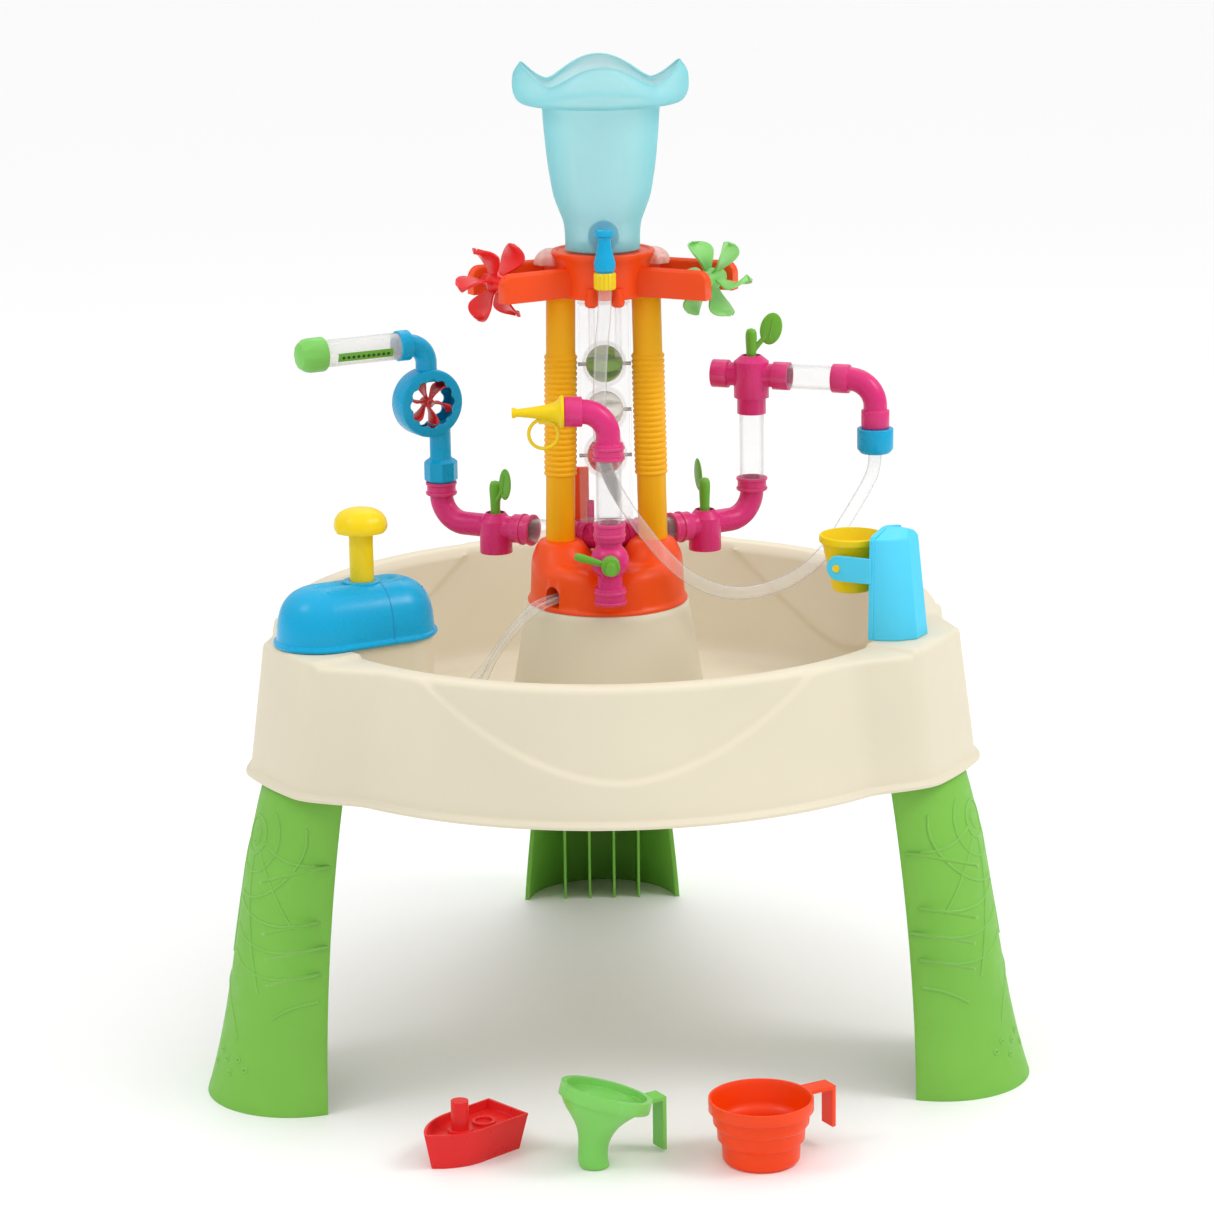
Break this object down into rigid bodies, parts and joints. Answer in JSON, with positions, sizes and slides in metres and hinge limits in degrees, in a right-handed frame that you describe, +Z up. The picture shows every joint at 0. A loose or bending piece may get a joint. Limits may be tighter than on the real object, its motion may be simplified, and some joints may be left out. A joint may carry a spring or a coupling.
{
  "type": "sand and water table",
  "caption": "Round toy water table on curved legs with a central tower of pipes, valves and paddle wheels, a pump, a tipping bucket, and loose cup, funnel and boat.",
  "frame": {"origin": "on the floor, under the axis of the tub and tower", "axes": "+Z up, -Y is the front, where the toys lie; +X to the right seen from the front"},
  "size_m": [0.8778, 0.984, 1.062],
  "materials": {
    "tub_beige": "satin",
    "leg_green": "satin",
    "orange": "satin",
    "crown_orange": "satin",
    "pink": "semi-gloss",
    "yellow": "semi-gloss",
    "pale_yellow": "semi-gloss",
    "blue": "semi-gloss",
    "light_blue": "semi-gloss",
    "flower_teal": "translucent",
    "handle_green": "satin",
    "red": "semi-gloss",
    "green": "semi-gloss",
    "clear": "clear",
    "hose_clear": "flexible",
    "white_tube": "translucent",
    "steel": "satin",
    "plug_white": "satin"
  },
  "bodies": {
    "table": {"tub": "tub_beige", "leg_left": "leg_green", "leg_right": "leg_green", "leg_back": "leg_green", "base_screws": "steel", "drain_plug": "plug_white", "tower_base": "orange", "column_left": "yellow", "column_right": "yellow", "chute_front": "clear", "chute_back": "clear", "pivot_pins": "steel", "manifold": "pink", "link_tubes": "clear", "crown": "crown_orange", "splash_domes": "clear", "drip_straws": "clear", "flower_bowl": "flower_teal", "flower_petals": "flower_teal", "outlet_spout": "blue", "outlet_nut": "blue", "hose_nut": "pale_yellow", "tower_hose": "hose_clear", "pump_hose_front": "hose_clear", "pump_hose_rear": "hose_clear", "front_valve": "pink", "front_tube": "white_tube", "left_valve": "pink", "right_valve": "pink", "riser_tube": "clear", "tee_valve": "pink", "cross_tube": "white_tube", "down_elbow": "pink", "hose_cap": "blue", "pump_dome": "blue", "pump_cylinder": "plug_white", "pump_spring": "steel", "splash_tower": "light_blue"},
    "plunger": {"plunger": "pale_yellow"},
    "bucket": {"bucket": "pale_yellow"},
    "wheel_red": {"wheel_red": "red"},
    "wheel_green": {"wheel_green": "green"},
    "fan_pipe": {"fan_housing": "blue", "fan_cover": "blue", "fan_axle": "steel", "sprinkler_tube": "white_tube", "sprinkler_cap": "green"},
    "fan": {"fan": "red"},
    "spinner_top": {"spinner_top": "green"},
    "spinner_middle": {"spinner_middle": "yellow"},
    "spinner_bottom": {"spinner_bottom": "red"},
    "front_handle": {"front_handle": "handle_green"},
    "left_handle": {"left_handle": "handle_green"},
    "right_handle": {"right_handle": "handle_green"},
    "tee_handle": {"tee_handle": "handle_green"},
    "front_nozzle": {"front_elbow": "pink", "horn_nozzle": "pale_yellow"},
    "boat": {"boat": "red"},
    "funnel": {"funnel": "green"},
    "cup": {"cup": "orange"}
  },
  "joints": [
    {"name": "pump_stroke", "type": "slide", "parent": "table", "child": "plunger", "axis": [0, 0, -1], "range_m": [0, 0.038], "stiffness_N_per_m": 300, "springref_m": -0.012, "deforming": ["pump_spring"]},
    {"name": "bucket_tip", "type": "hinge", "parent": "table", "child": "bucket", "pos_m": [0.25288, -0.146, 0.549], "axis": [-0.5, -0.866, 0], "range_deg": [0, 100]},
    {"name": "wheel_red_spin", "type": "hinge", "parent": "table", "child": "wheel_red", "pos_m": [-0.114, -0.027, 0.832], "axis": [-0.5, 0.866, 0], "continuous": true},
    {"name": "wheel_green_spin", "type": "hinge", "parent": "table", "child": "wheel_green", "pos_m": [0.114, -0.027, 0.832], "axis": [0.5, 0.866, 0], "continuous": true},
    {"name": "fan_pipe_swivel", "type": "hinge", "parent": "table", "child": "fan_pipe", "pos_m": [-0.18013, 0.114, 0.6], "axis": [0, 0, 1], "range_deg": [-60, 60]},
    {"name": "fan_spin", "type": "hinge", "parent": "fan_pipe", "child": "fan", "pos_m": [-0.19338, 0.10696, 0.68], "axis": [0.4695, -0.8829, 0], "continuous": true},
    {"name": "spinner_top_spin", "type": "hinge", "parent": "table", "child": "spinner_top", "pos_m": [0, 0, 0.738], "axis": [1, 0, 0], "continuous": true},
    {"name": "spinner_middle_spin", "type": "hinge", "parent": "table", "child": "spinner_middle", "pos_m": [0, 0, 0.688], "axis": [1, 0, 0], "continuous": true},
    {"name": "spinner_bottom_spin", "type": "hinge", "parent": "table", "child": "spinner_bottom", "pos_m": [0, 0, 0.638], "axis": [1, 0, 0], "continuous": true},
    {"name": "front_handle_turn", "type": "hinge", "parent": "table", "child": "front_handle", "pos_m": [0, -0.122, 0.544], "axis": [0, -1, 0], "range_deg": [0, 90]},
    {"name": "left_handle_turn", "type": "hinge", "parent": "table", "child": "left_handle", "pos_m": [-0.12038, 0.0795, 0.544], "axis": [0, 0, 1], "range_deg": [0, 90]},
    {"name": "right_handle_turn", "type": "hinge", "parent": "table", "child": "right_handle", "pos_m": [0.11085, 0.074, 0.544], "axis": [0, 0, 1], "range_deg": [0, 90]},
    {"name": "tee_handle_turn", "type": "hinge", "parent": "table", "child": "tee_handle", "pos_m": [0.16541, 0.1055, 0.704], "axis": [0, 0, 1], "range_deg": [0, 90]},
    {"name": "front_nozzle_swivel", "type": "hinge", "parent": "table", "child": "front_nozzle", "pos_m": [0, -0.1, 0.68], "axis": [0, 0, 1], "range_deg": [0, 180]},
    {"name": "boat_lift", "type": "slide", "parent": "table", "child": "boat", "axis": [0, 0, 1], "range_m": [0, 0.12]},
    {"name": "funnel_lift", "type": "slide", "parent": "table", "child": "funnel", "axis": [0, 0, 1], "range_m": [0, 0.12]},
    {"name": "cup_lift", "type": "slide", "parent": "table", "child": "cup", "axis": [0, 0, 1], "range_m": [0, 0.12]}
  ]
}
